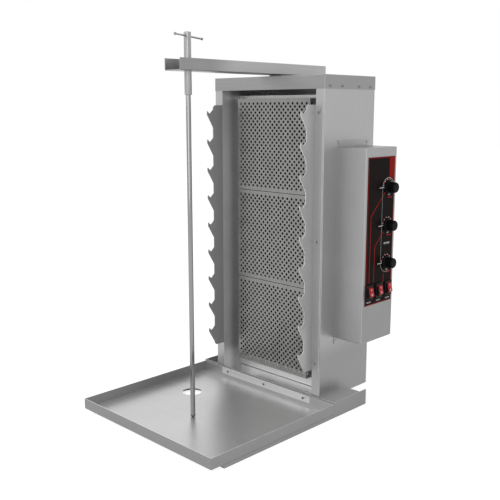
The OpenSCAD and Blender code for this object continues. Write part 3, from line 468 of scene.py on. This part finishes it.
turnedParts = {
    # part: (finish, body, slot, width of the broken edges in millimetres)
    "skewer_rod": ("groundRod", "skewer", "rod", 0.3),
    "skewer_tip": ("hardTip", "skewer", "tip", 0.3),
    "skewer_sleeve": ("sleeveTube", "sleeve", "rod", 0.25),
    "handle_bar": ("groundRod", "handle", "rod", 0.1),
    "arm_bush": ("sinteredBronze", "frame", "bush", 0.3),
    "arm_bolts": ("zincScrew", "frame", "screw", 0.3),
    "cable_gland": ("glandPlastic", "frame", "black_plastic", 0.3),
}
for k in (1, 2, 3):
    turnedParts[f"knob_{k}"] = ("knobPlastic", f"dial_{k}", "knob", 0.3)
    turnedParts[f"switch_housing_{k}"] = ("bezelPlastic", "frame", "black_plastic", 0.35)
    turnedParts[f"rocker_{k}"] = ("rockerRed", f"switch_{k}", "rocker", 0.5)
for part, (finish, body, slot, edge) in turnedParts.items():
    piece = smoothedCopy(part, finish, body, edge)
    if slot == "rocker":
        # red on the face, black on the two sides
        piece.data.materials.append(finishes["bezelPlastic"])
        for face in piece.data.polygons:
            face.material_index = 1 if abs(face.normal.y) > 0.5 else 0
print("turned and moulded parts softened:", len(turnedParts))

# parts whose shape is right as it is, given their finish; the liners and the burner plate carry painted light and
# shade
keptParts = {
    "base_deck": "mirrorSteel", "liner_left": "linerSteel", "liner_right": "linerSteel",
    "burner_plate": "traySteel", "cabinet_bottom": "crosswiseSteel", "heat_shield": "crosswiseSteel",
    "insulation_board": "mineralBoard", "screen_1": "screenSteel", "screen_2": "screenSteel",
    "screen_3": "screenSteel", "heater_plate_1": "firedCeramic", "heater_plate_2": "firedCeramic",
    "heater_plate_3": "firedCeramic", "heating_element_1": "heaterTube", "heating_element_2": "heaterTube",
    "heating_element_3": "heaterTube", "panel_overlay": "blackFilm", "regulator_1": "phenolicWhite",
    "regulator_2": "phenolicWhite", "regulator_3": "phenolicWhite", "dial_shaft_1": "groundRod",
    "dial_shaft_2": "groundRod", "dial_shaft_3": "groundRod", "terminal_block": "phenolicWhite",
    "wire_grommet": "rubber", "wiring_loom": "leadSleeve",
}
for part, finish in keptParts.items():
    setFinish(nodes[part], finish)


# sheet-metal screws, laid on their places by Geometry Nodes

screwSizes = {
    # millimetres
    "headDiameter": 6.0, "headHeight": 2.0, "shankDiameter": 3.5, "shankLength": 9.0, "slotWidth": 0.9,
}


def newTree(name, inputs):
    tree = bpy.data.node_groups.new(name, "GeometryNodeTree")
    tree.interface.new_socket("Geometry", in_out="INPUT", socket_type="NodeSocketGeometry")
    for label, (kind, value) in inputs.items():
        socket = tree.interface.new_socket(label, in_out="INPUT", socket_type=kind)
        socket.default_value = value
    tree.interface.new_socket("Geometry", in_out="OUTPUT", socket_type="NodeSocketGeometry")
    return tree


def runTree(name, mesh, tree, values, finish):
    # sets the named inputs by their identifiers, then keeps the result as a plain mesh
    work = linkObject(name + "_work", mesh)
    modifier = work.modifiers.new("shape", "NODES")
    modifier.node_group = tree
    for item in tree.interface.items_tree:
        if item.item_type == "SOCKET" and item.in_out == "INPUT" and item.name in values:
            modifier[item.identifier] = values[item.name]
    piece = plainCopy(work, name)
    setFinish(piece, finish)
    return piece


def closeTree(tree, geometry, finish):
    realised = addNode(tree, "GeometryNodeRealizeInstances", None, {"Geometry": geometry})
    painted = addNode(tree, "GeometryNodeSetMaterial", None, {
        "Geometry": realised.outputs["Geometry"], "Material": finishes[finish]})
    output = addNode(tree, "NodeGroupOutput")
    tree.links.new(painted.outputs["Geometry"], output.inputs["Geometry"])


def screwTree(name, finish):
    # a pan head with a cross recess on a plain shank, its seat at the point and its axis along Z
    sizes = {label: ("NodeSocketFloat", value * mm) for label, value in screwSizes.items()}
    tree = newTree(name, {**sizes, "turn": ("NodeSocketVector", (0.0, 0.0, 0.0))})
    given = addNode(tree, "NodeGroupInput")

    def times(source, factor):
        return addNode(tree, "ShaderNodeMath", {"operation": "MULTIPLY"}, {
            0: given.outputs[source], 1: factor}).outputs[0]

    def lifted(geometry, height):
        shift = addNode(tree, "ShaderNodeCombineXYZ", None, {"Z": height})
        return addNode(tree, "GeometryNodeTransform", None, {
            "Geometry": geometry, "Translation": shift.outputs["Vector"]}).outputs["Geometry"]

    rim = addNode(tree, "GeometryNodeMeshCylinder", None, {
        "Vertices": 24, "Radius": times("headDiameter", 0.5), "Depth": times("headHeight", 0.46)}).outputs["Mesh"]
    crown = addNode(tree, "GeometryNodeMeshCone", None, {
        "Vertices": 24, "Side Segments": 3, "Radius Bottom": times("headDiameter", 0.5),
        "Radius Top": times("headDiameter", 0.3), "Depth": times("headHeight", 0.55)}).outputs["Mesh"]
    shank = addNode(tree, "GeometryNodeMeshCylinder", None, {
        "Vertices": 16, "Radius": times("shankDiameter", 0.5), "Depth": given.outputs["shankLength"]}).outputs["Mesh"]
    head = addNode(tree, "GeometryNodeMeshBoolean", {"operation": "UNION"})
    for geometry in (lifted(rim, times("headHeight", 0.23)), lifted(crown, times("headHeight", 0.45)),
                     lifted(shank, times("shankLength", -0.49))):
        tree.links.new(geometry, head.inputs["Mesh 2"])
    cuts = []
    for long, short in (("X", "Y"), ("Y", "X")):
        size = addNode(tree, "ShaderNodeCombineXYZ", None, {
            long: times("headDiameter", 0.5), short: given.outputs["slotWidth"], "Z": times("headHeight", 0.8)})
        cube = addNode(tree, "GeometryNodeMeshCube", None, {"Size": size.outputs["Vector"]}).outputs["Mesh"]
        cuts.append(lifted(cube, times("headHeight", 1.0)))
    recess = addNode(tree, "GeometryNodeMeshBoolean", {"operation": "DIFFERENCE"}, {"Mesh 1": head.outputs["Mesh"]})
    for cut in cuts:
        tree.links.new(cut, recess.inputs["Mesh 2"])
    placed = addNode(tree, "GeometryNodeInstanceOnPoints", None, {
        "Points": given.outputs["Geometry"], "Instance": recess.outputs["Mesh"], "Rotation": given.outputs["turn"]})
    closeTree(tree, placed.outputs["Instances"], finish)
    return tree


def solidBoxes(node):
    # the lowest and highest corner of each separate solid of a node
    solid = bmesh.new()
    solid.from_mesh(nodes[node].data)
    bmesh.ops.remove_doubles(solid, verts=solid.verts, dist=softening["mergeM"])
    boxes, seen = [], set()
    for start in solid.verts:
        if start in seen:
            continue
        group, queue = [], [start]
        seen.add(start)
        while queue:
            vertex = queue.pop()
            group.append(vertex.co.copy())
            for edge in vertex.link_edges:
                other = edge.other_vert(vertex)
                if other not in seen:
                    seen.add(other)
                    queue.append(other)
        low = Vector([min(p[i] for p in group) for i in range(3)])
        high = Vector([max(p[i] for p in group) for i in range(3)])
        boxes.append((low, high))
    solid.free()
    return boxes


headTurns = {
    # the way the heads look, as a turn from +Z
    "right": (0.0, math.pi / 2, 0.0), "left": (0.0, -math.pi / 2, 0.0), "front": (math.pi / 2, 0.0, 0.0),
}


def layScrews(node, finish, side):
    # each head's seat is one head's height inside the screw's outer end
    head = screwSizes["headHeight"] * mm
    points = []
    for low, high in solidBoxes(node):
        middle = (low + high) / 2
        if side == "front":
            points.append(Vector((middle.x, low.y + head, middle.z)))
        elif side == "right" and middle.x > 0:
            points.append(Vector((high.x - head, middle.y, middle.z)))
        elif side == "left" and middle.x <= 0:
            points.append(Vector((low.x + head, middle.y, middle.z)))
    mesh = bpy.data.meshes.new(node)
    mesh.from_pydata(points, [], [])
    piece = runTree(f"screws_{node}_{side}", mesh, screwTrees[finish], {"turn": headTurns[side]}, finish)
    smoothFaces(piece.data, 30)
    settle(piece, "frame", [node])


screwSets = {
    # part: (finish, slot, sides of the grill that the heads look out of)
    "header_screws": ("dullScrew", "screw", ("right", "left")),
    "rack_screws": ("dullScrew", "screw", ("front",)),
    "strip_screws": ("darkScrew", "dark_screw", ("front",)),
    "box_screws": ("zincScrew", "screw", ("right",)),
}
screwTrees = {
    finish: screwTree("panHead_" + finish, finish) for finish in ("zincScrew", "darkScrew", "dullScrew")}
for part, (finish, slot, sides) in screwSets.items():
    for side in sides:
        layScrews(part, finish, side)
print("screws laid")


# what is printed on the control panel

panel = {
    "inkMm": 0.1,            # thickness of the ink
    "borderMm": 2.6,         # width of the red border
    "marginMm": 0.3,         # bare film outside the border
    "arcRadius": 22.8, "arcWidth": 0.7,
    "dashRadius": 19.2, "dashLength": 3.0, "dashWidth": 1.5,
    "tickFrom": 105.0, "tickWidth": 1.2, "lineWidth": 1.3,
    "leadEnd": 326.0,        # height at which the red lines end above the switches
    "textHeight": 5.0, "smallText": 3.4,
    "powerZ": 415.6, "switchWordZ": 279.5,
}
overlayLow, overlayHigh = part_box("panel_overlay")
skinX = overlayHigh.x
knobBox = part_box("knob_3")
panel["dialY"] = (knobBox[0].y + knobBox[1].y) / 2 / mm
panel["dialZ"] = [(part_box(f"knob_{k}")[0].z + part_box(f"knob_{k}")[1].z) / 2 / mm for k in (1, 2, 3)]


def inkShape(shape, outline):
    # a thin flat prism of ink on the panel; the outline is in millimetres, (y, z)
    low = [shape.verts.new((skinX, y * mm, z * mm)) for y, z in outline]
    high = [shape.verts.new((skinX + panel["inkMm"] * mm, y * mm, z * mm)) for y, z in outline]
    count = len(outline)
    shape.faces.new(high)
    shape.faces.new(low[::-1])
    for i in range(count):
        j = (i + 1) % count
        shape.faces.new((low[i], low[j], high[j], high[i]))


def ribbon(points, width):
    # outline of a line of even width with mitred corners
    points = [Vector(p) for p in points]
    left, right = [], []
    for i, point in enumerate(points):
        before = (point - points[i - 1]).normalized() if i else None
        after = (points[i + 1] - point).normalized() if i < len(points) - 1 else None
        if before is None:
            before = after
        if after is None:
            after = before
        along = (before + after).normalized()
        normal = Vector((-along.y, along.x))
        reach = width / 2 / max(0.3, math.cos(before.angle(after) / 2))
        left.append(point + normal * reach)
        right.append(point - normal * reach)
    return [tuple(p) for p in left + right[::-1]]


def arcPoints(centre, radius, start, end, steps):
    angles = [math.radians(start + (end - start) * i / steps) for i in range(steps + 1)]
    return [(centre[0] + radius * math.cos(a), centre[1] + radius * math.sin(a)) for a in angles]


def inkPiece(name, outlines, finish):
    shape = bmesh.new()
    for outline in outlines:
        inkShape(shape, outline)
    bmesh.ops.recalc_face_normals(shape, faces=shape.faces)
    mesh = bpy.data.meshes.new(name)
    shape.to_mesh(mesh)
    shape.free()
    piece = linkObject(name, mesh)
    setFinish(piece, finish)
    return settle(piece, "frame")


def printPanel():
    margin = panel["marginMm"]
    y0, y1 = overlayLow.y / mm + margin, overlayHigh.y / mm - margin
    z0, z1 = overlayLow.z / mm + margin, overlayHigh.z / mm - margin
    b = panel["borderMm"]
    border = [
        [(y0, z0), (y1, z0), (y1 - b, z0 + b), (y0 + b, z0 + b)],
        [(y1, z0), (y1, z1), (y1 - b, z1 - b), (y1 - b, z0 + b)],
        [(y1, z1), (y0, z1), (y0 + b, z1 - b), (y1 - b, z1 - b)],
        [(y0, z1), (y0, z0), (y0 + b, z0 + b), (y0 + b, z1 - b)],
    ]
    inkPiece("panel_border", border, "darkRedInk")
    dialY, (lowZ, midZ, topZ) = panel["dialY"], panel["dialZ"]
    width = panel["lineWidth"]
    bandBottom = arcPoints((dialY, topZ), panel["arcRadius"] + 2.2, 84, 28, 10)
    band = [(bandBottom[0][0], z1 - b)] + bandBottom + [(y1 - b, bandBottom[-1][1]), (y1 - b, z1 - b)]
    # a line runs down from each dial: two slant to the front and then run to the switches
    lines = [
        ribbon([(126.8, topZ - 12), (74.0, topZ - 64.8), (72.8, panel["leadEnd"])], width),
        ribbon([(124.6, midZ - 15.4), (92.2, midZ - 47.8), (91.4, panel["leadEnd"])], width),
        ribbon([(131.0, lowZ - 27), (130.3, panel["leadEnd"] - 5)], width),
    ]
    marks = [ribbon(arcPoints((dialY, topZ), panel["arcRadius"], 176, 24, 28), panel["arcWidth"])]
    for z in panel["dialZ"]:
        marks.append(ribbon([(panel["tickFrom"], z), (dialY - 17.0, z)], panel["tickWidth"]))
        lines.append(ribbon([(dialY - 0.5, z - 24.4), (dialY + 16, z - 24.4)], 2.0))
    inkPiece("panel_band_red", [band], "redInk")
    inkPiece("panel_lines_red", lines, "brightRedInk")
    inkPiece("panel_marks_white", marks, "whiteInk")
    lineY = dialY - panel["arcRadius"] - 0.4
    foot = arcPoints((dialY, lowZ), panel["arcRadius"] + 0.4, 180, 300, 24)
    grey = [ribbon([(lineY, topZ - 1), (lineY, lowZ + 0.5)] + foot, 1.0)]
    inkPiece("panel_line_grey", grey, "greyInk")


printPanel()


def dashTree(name, finish):
    tree = newTree(name, {
        "radius": ("NodeSocketFloat", 0.02), "dashes": ("NodeSocketInt", 8), "start": ("NodeSocketFloat", 0.0),
        "sweep": ("NodeSocketFloat", 3.0), "dashSize": ("NodeSocketVector", (0.003, 0.0012, 0.0001)),
        "turn": ("NodeSocketVector", (0.0, 0.0, 0.0))})
    given = addNode(tree, "NodeGroupInput")
    arc = addNode(tree, "GeometryNodeCurveArc", {"mode": "RADIUS"}, {
        "Resolution": 64, "Radius": given.outputs["radius"], "Start Angle": given.outputs["start"],
        "Sweep Angle": given.outputs["sweep"]})
    spaced = addNode(tree, "GeometryNodeCurveToPoints", {"mode": "COUNT"}, {
        "Curve": arc.outputs["Curve"], "Count": given.outputs["dashes"]})
    dash = addNode(tree, "GeometryNodeMeshCube", None, {"Size": given.outputs["dashSize"]})
    along = addNode(tree, "FunctionNodeAlignEulerToVector", {"axis": "X", "pivot_axis": "Z"}, {
        "Vector": spaced.outputs["Tangent"]})
    placed = addNode(tree, "GeometryNodeInstanceOnPoints", None, {
        "Points": spaced.outputs["Points"], "Instance": dash.outputs["Mesh"], "Rotation": along.outputs["Rotation"]})
    solid = addNode(tree, "GeometryNodeRealizeInstances", None, {"Geometry": placed.outputs["Instances"]})
    turned = addNode(tree, "GeometryNodeTransform", None, {
        "Geometry": solid.outputs["Geometry"], "Rotation": given.outputs["turn"]})
    copies = addNode(tree, "GeometryNodeInstanceOnPoints", None, {
        "Points": given.outputs["Geometry"], "Instance": turned.outputs["Geometry"]})
    closeTree(tree, copies.outputs["Instances"], finish)
    return tree


def dialDashes(name, finish, dashes, start, sweep):
    # the arc is drawn flat, then stood up so that it looks out of the panel
    half = panel["inkMm"] * mm / 2
    mesh = bpy.data.meshes.new(name)
    mesh.from_pydata([(skinX + half, panel["dialY"] * mm, z * mm) for z in panel["dialZ"]], [], [])
    size = (panel["dashLength"] * mm, panel["dashWidth"] * mm, panel["inkMm"] * mm)
    piece = runTree(name, mesh, dashTree(name, finish), {
        "radius": panel["dashRadius"] * mm, "dashes": dashes, "start": math.radians(start),
        "sweep": math.radians(sweep), "dashSize": size, "turn": (math.pi / 2, 0.0, math.pi / 2)}, finish)
    return settle(piece, "frame")


dialDashes("dial_dashes_white", "whiteInk", 6, 14, 150)
dialDashes("dial_dashes_red", "brightRedInk", 5, 29, 120)

# words are made a mesh first, then stood on the panel
standUp = Matrix(((0, 0, 1, 0), (1, 0, 0, 0), (0, 1, 0, 0), (0, 0, 0, 1)))


def word(text, heightMm, y, z, finish, name):
    curve = bpy.data.curves.new(name, "FONT")
    curve.body = text
    curve.size = heightMm * mm * 1.37   # capitals are 0.73 of the font's size
    curve.align_x = "CENTER"
    curve.align_y = "CENTER"
    curve.extrude = panel["inkMm"] * mm / 2
    curve.resolution_u = 3
    piece = plainCopy(linkObject(name + "_work", curve), name)
    place = Matrix.Translation((skinX + panel["inkMm"] * mm / 2, y * mm, z * mm))
    piece.data.transform(place @ standUp)
    setFinish(piece, finish)
    return settle(piece, "frame")


word("POWER", panel["textHeight"], panel["dialY"], panel["powerZ"], "whiteInk", "word_power")
for k in (1, 2, 3):
    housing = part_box(f"switch_housing_{k}")
    switchY = (housing[0].y + housing[1].y) / 2 / mm
    dialFootZ = panel["dialZ"][k - 1] - 18.4
    word("ON/OFF", panel["smallText"], switchY, panel["switchWordZ"], "whiteInk", f"word_switch_{k}")
    word("OFF", panel["smallText"], panel["dialY"] + 3.0, dialFootZ, "whiteInk", f"word_dial_{k}")
print("panel printed")


# marks on the rockers, in the rocker's own tilted frame

rockers = {
    "pivotX": 267.0, "pivotZ": 304.0, "crown": 8.0, "veeDegrees": 7.0, "tiltDegrees": 12.0,
    "markMm": 0.1, "markAt": 5.9,
    "rootMm": -0.02,   # the marks start just inside the rocker
}


def rockerMarks(k):
    low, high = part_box(f"rocker_{k}")
    centre = Vector((rockers["pivotX"] * mm, (low.y + high.y) / 2, rockers["pivotZ"] * mm))
    shape = bmesh.new()

    def onFace(side, across, up, out):
        # a point on the upper (+1) or lower (-1) half of the rocker's face, in millimetres
        vee = math.radians(rockers["veeDegrees"])
        distance = side * rockers["markAt"] + up
        x = rockers["crown"] + abs(distance) * math.tan(vee) + out
        tilt = math.radians(-rockers["tiltDegrees"])
        turnedX = x * math.cos(tilt) + distance * math.sin(tilt)
        turnedZ = -x * math.sin(tilt) + distance * math.cos(tilt)
        return centre + Vector((turnedX * mm, across * mm, turnedZ * mm))

    def ring(side, outline):
        return [[shape.verts.new(onFace(side, a, u, out)) for a, u in outline]
                for out in (rockers["rootMm"], rockers["markMm"])]

    def plate(side, outline, hole=None):
        rings = ring(side, outline)
        if hole:
            inner = ring(side, hole)
        count = len(outline)
        for i in range(count):
            j = (i + 1) % count
            shape.faces.new((rings[0][i], rings[0][j], rings[1][j], rings[1][i]))
            if hole:
                shape.faces.new((inner[0][j], inner[0][i], inner[1][i], inner[1][j]))
                shape.faces.new((rings[1][i], rings[1][j], inner[1][j], inner[1][i]))
                shape.faces.new((rings[0][j], rings[0][i], inner[0][i], inner[0][j]))
        if not hole:
            shape.faces.new(rings[1])
            shape.faces.new(rings[0][::-1])

    plate(1, [(-0.6, -2.2), (0.6, -2.2), (0.6, 2.2), (-0.6, 2.2)])
    plate(-1, arcPoints((0, 0), 2.3, 0, 345, 23), arcPoints((0, 0), 1.3, 0, 345, 23))
    bmesh.ops.recalc_face_normals(shape, faces=shape.faces)
    mesh = bpy.data.meshes.new(f"rocker_marks_{k}")
    shape.to_mesh(mesh)
    shape.free()
    piece = linkObject(f"rocker_marks_{k}", mesh)
    setFinish(piece, "whiteInk")
    settle(piece, f"switch_{k}")


for k in (1, 2, 3):
    rockerMarks(k)
print("rockers marked")


# floor, light and camera

studio = {
    "floorHalf": 12.0, "fill": 0.8, "paperGlow": 1.3, "glowShare": 0.6,
    "aim": (0.0, -0.05, 0.4),   # the lamps look here
    "key": {"place": (-1.6, -2.2, 2.4), "size": 1.8, "power": 22.0},
    "front": {"place": (1.5, -2.6, 1.5), "size": 2.0, "power": 26.0},
}


def whiteForView(tree):
    # 1 for rays that should find the white studio: camera, glossy and transmission rays
    path = addNode(tree, "ShaderNodeLightPath")
    first = addNode(tree, "ShaderNodeMath", {"operation": "MAXIMUM"}, {
        0: path.outputs["Is Camera Ray"], 1: path.outputs["Is Glossy Ray"]})
    return addNode(tree, "ShaderNodeMath", {"operation": "MAXIMUM"}, {
        0: first.outputs[0], 1: path.outputs["Is Transmission Ray"]}).outputs[0]


def layFloor():
    half = studio["floorHalf"]
    mesh = bpy.data.meshes.new("studio_floor")
    corners = [(-half, -half, 0), (half, -half, 0), (half, half, 0), (-half, half, 0)]
    mesh.from_pydata(corners, [], [(0, 1, 2, 3)])
    floor = linkObject("studio_floor", mesh)
    material = bpy.data.materials.new("studio_paper")
    material.use_nodes = True
    tree = material.node_tree
    tree.nodes.clear()
    matt = addNode(tree, "ShaderNodeBsdfDiffuse", None, {"Color": linear("#f4f4f4")})
    glow = addNode(tree, "ShaderNodeEmission", None, {
        "Color": linear("#ffffff"), "Strength": studio["paperGlow"]})
    share = addNode(tree, "ShaderNodeMath", {"operation": "MULTIPLY"}, {
        0: whiteForView(tree), 1: studio["glowShare"]})
    mixed = addNode(tree, "ShaderNodeMixShader", None, {0: share.outputs[0]})
    tree.links.new(matt.outputs["BSDF"], mixed.inputs[1])
    tree.links.new(glow.outputs["Emission"], mixed.inputs[2])
    output = addNode(tree, "ShaderNodeOutputMaterial")
    tree.links.new(mixed.outputs["Shader"], output.inputs["Surface"])
    floor.data.materials.append(material)


def lightStudio():
    world = bpy.data.worlds.new("studio_world")
    world.use_nodes = True
    scene.world = world
    tree = world.node_tree
    tree.nodes.clear()
    fill = addNode(tree, "ShaderNodeBackground", None, {
        "Color": linear("#ffffff"), "Strength": studio["fill"]})
    white = addNode(tree, "ShaderNodeBackground", None, {"Color": linear("#ffffff"), "Strength": 1.0})
    mixed = addNode(tree, "ShaderNodeMixShader", None, {0: whiteForView(tree)})
    tree.links.new(fill.outputs["Background"], mixed.inputs[1])
    tree.links.new(white.outputs["Background"], mixed.inputs[2])
    output = addNode(tree, "ShaderNodeOutputWorld")
    tree.links.new(mixed.outputs["Shader"], output.inputs["Surface"])
    for name in ("key", "front"):
        lamp = bpy.data.lights.new("lamp_" + name, "AREA")
        lamp.shape = "SQUARE"
        lamp.size = studio[name]["size"]
        lamp.energy = studio[name]["power"]
        lampObject = bpy.data.objects.new("lamp_" + name, lamp)
        scene.collection.objects.link(lampObject)
        lampObject.location = studio[name]["place"]
        aim = Vector(studio["aim"]) - lampObject.location
        lampObject.rotation_euler = aim.to_track_quat("-Z", "Y").to_euler()


view = {"place": (1.2816, -1.3530, 0.7324), "turnDegrees": (79.34, 0.0, 44.68), "lensMm": 53.96, "sensorMm": 36.0}


def placeCamera():
    lens = bpy.data.cameras.new("studio_camera")
    lens.sensor_width = view["sensorMm"]
    lens.lens = view["lensMm"]
    camera = bpy.data.objects.new("studio_camera", lens)
    scene.collection.objects.link(camera)
    camera.location = view["place"]
    camera.rotation_euler = [math.radians(turn) for turn in view["turnDegrees"]]
    scene.camera = camera


layFloor()
lightStudio()
placeCamera()
scene.view_settings.view_transform = "Standard"
print("studio ready")
